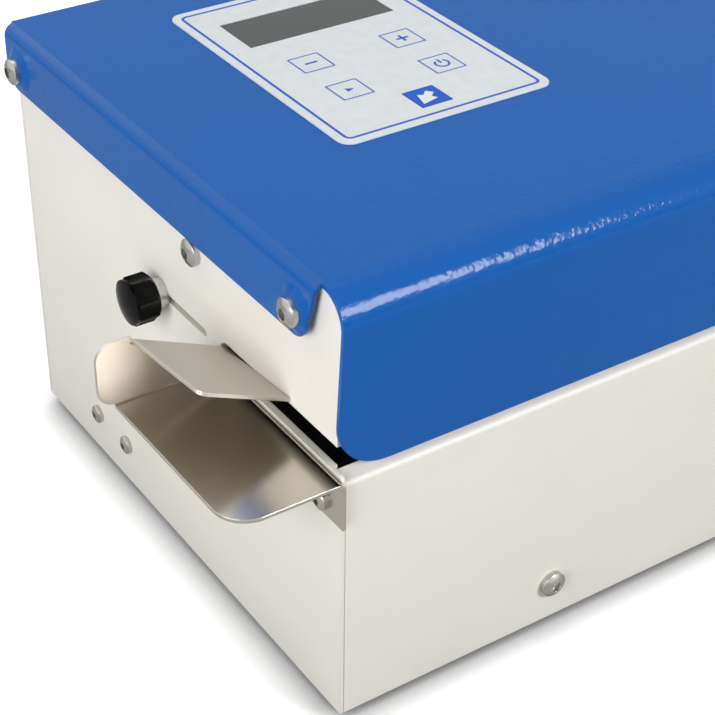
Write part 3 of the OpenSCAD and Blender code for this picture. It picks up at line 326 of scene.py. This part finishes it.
def bar(x0, y0, x1, y1):
    return [(x0, y0), (x1, y0), (x1, y1), (x0, y1)]


plate("pad_border", [inset_pad(*edge) for edge in BORDER], PAD_TOP, "base", print_blue)
for key in ("function", "standby", "minus", "plus"):
    outline = [key_box(key, *edge) for edge in KEY_LINE]
    plate(key + "_outline", outline, KEY_TOP, key + "_button", print_blue)

arrow = [(-4.2, -4.2), (2.4, -2.6), (1.4, -0.6), (3.6, 1.4), (1.6, 3.6), (-0.6, 1.4), (-2.6, 2.4)]
triangle = [(-1.3, -1.3), (1.5, 0), (-1.3, 1.3)]
plus = [
    (-2.4, -0.5), (-0.5, -0.5), (-0.5, -2.4), (0.5, -2.4), (0.5, -0.5), (2.4, -0.5),
    (2.4, 0.5), (0.5, 0.5), (0.5, 2.4), (-0.5, 2.4), (-0.5, 0.5), (-2.4, 0.5),
]
open_ring = arc(2.9, 125, 415, 24) + arc(2.1, 125, 415, 24)[::-1]
symbol("start_arrow", "start", [arrow], print_white)
symbol("function_mark", "function", [triangle], print_blue)
symbol("minus_mark", "minus", [bar(-2.4, -0.5, 2.4, 0.5)], print_blue)
symbol("plus_mark", "plus", [plus], print_blue)
symbol("standby_mark", "standby", [open_ring, bar(-0.4, 0.3, 0.4, 3.3)], print_blue)

# The heater's coil springs, as an own copy of the CAD springs held by the base

coils = bpy.data.objects.new("heater_coils", nodes["heater_springs"].data.copy())
bpy.context.collection.objects.link(coils)
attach(coils, "base")
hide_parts("heater_springs")
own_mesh(coils)

# Floor, in metres: white for the camera, pale grey in metal, darker for bounced light on the right, with
# painted shade under the feet

FLOOR_HALF = 5
FLOOR_Z = -0.0002
floor_mesh = bpy.data.meshes.new("floor")
floor_corners = [(x * FLOOR_HALF, y * FLOOR_HALF, FLOOR_Z) for x, y in ((-1, -1), (1, -1), (1, 1), (-1, 1))]
floor_mesh.from_pydata(floor_corners, [], [[0, 1, 2, 3]])
floor = bpy.data.objects.new("floor", floor_mesh)
bpy.context.collection.objects.link(floor)
floor_mat = bpy.data.materials.new("floor_white")
floor_mat.use_nodes = True
floor_mesh.materials.append(floor_mat)
tree = floor_mat.node_tree
tree.nodes.clear()
where = tree.nodes.new("ShaderNodeTexCoord").outputs["Object"]
along = tree.nodes.new("ShaderNodeSeparateXYZ")
tree.links.new(where, along.inputs["Vector"])
away = tree.nodes.new("ShaderNodeVectorMath")
away.operation = "LENGTH"
tree.links.new(where, away.inputs[0])
bounced = map_range(tree, along.outputs["X"], -0.45, -0.25, 0.7, 0.25)
far_white = map_range(tree, away.outputs["Value"], 0.6, 1.6, 0.4, 1.0)
# Painted shade under the feet: the floor's colour darkens wherever something covers the floor within this
# distance
painted_contact_shade = tree.nodes.new("ShaderNodeAmbientOcclusion")
painted_contact_shade.samples = 8
painted_contact_shade.inputs["Distance"].default_value = 0.018
tree.links.new(by_ray(tree, bounced, 0.6, 0.98), painted_contact_shade.inputs["Color"])
diffuse = tree.nodes.new("ShaderNodeBsdfDiffuse")
tree.links.new(painted_contact_shade.outputs["Color"], diffuse.inputs["Color"])
glow = tree.nodes.new("ShaderNodeEmission")
# The floor's glow is darkened by the same painted shade under the feet
tree.links.new(painted_contact_shade.outputs["Color"], glow.inputs["Color"])
tree.links.new(by_ray(tree, 0.0, 0.0, far_white), glow.inputs["Strength"])
both = tree.nodes.new("ShaderNodeAddShader")
tree.links.new(diffuse.outputs["BSDF"], both.inputs[0])
tree.links.new(glow.outputs["Emission"], both.inputs[1])
tree.links.new(both.outputs["Shader"], tree.nodes.new("ShaderNodeOutputMaterial").inputs["Surface"])

# World: white for the camera and in metal, and as light brighter from the rear right

world = bpy.data.worlds.new("studio")
bpy.context.scene.world = world
world.use_nodes = True
tree = world.node_tree
sky = tree.nodes["Background"]
sky.inputs["Color"].default_value = (1, 1, 1, 1)
toward = tree.nodes.new("ShaderNodeVectorMath")
toward.operation = "DOT_PRODUCT"
toward.inputs[1].default_value = (0.7, 0.7, 0.0)
tree.links.new(tree.nodes.new("ShaderNodeTexCoord").outputs["Generated"], toward.inputs[0])
light_level = map_range(tree, toward.outputs["Value"], 0.25, 0.75, 0.1, 0.6, True)
tree.links.new(by_ray(tree, light_level, 1.0, 1.0), sky.inputs["Strength"])

# Lamps, in metres and watts


def softbox(name, place, target, size, power, mirrored=True):
    """A square lamp that faces a target, and shows in mirrors or not."""
    light = bpy.data.lights.new(name, "AREA")
    light.shape = "RECTANGLE"
    light.size, light.size_y = size
    light.energy = power
    lamp = bpy.data.objects.new(name, light)
    lamp.location = place
    lamp.visible_glossy = mirrored
    lamp.rotation_euler = (Vector(target) - Vector(place)).to_track_quat("-Z", "Y").to_euler()
    bpy.context.collection.objects.link(lamp)


softbox("left_box", (-1.55, -0.5, 0.65), (-0.2, 0, 0.08), (1.0, 1.0), 19)
softbox("front_box", (0.45, -1.3, 0.8), (-0.1, -0.1, 0.15), (0.5, 0.55), 17)
softbox("back_box", (1.2, 1.1, 0.7), (0, 0, 0.08), (1.2, 1.2), 9, False)
softbox("top_box", (-0.35, 0.9, 1.35), (0, 0, 0.1), (2.0, 2.0), 10)

# Camera, from the photo's fitted perspective

FRAME_PX = 715
FOCAL_PX = 1809.576
SENSOR = 36.0
camera_data = bpy.data.cameras.new("photo_camera")
camera_data.sensor_width = SENSOR
camera_data.lens = FOCAL_PX / FRAME_PX * SENSOR
camera_data.clip_start = 0.01
camera = bpy.data.objects.new("photo_camera", camera_data)
right = Vector((0.8329088, -0.5532887, 0.0115991))
down = Vector((-0.3058605, -0.4777008, -0.8235601))
forward = Vector((0.4612073, 0.6824028, -0.5671104))
pose = Matrix((right, -down, -forward)).transposed().to_4x4()
pose.translation = at(-231.2254, -349.3714, 429.5049)
camera.matrix_world = pose
bpy.context.collection.objects.link(camera)
bpy.context.scene.camera = camera
bpy.context.scene.view_settings.view_transform = "Standard"
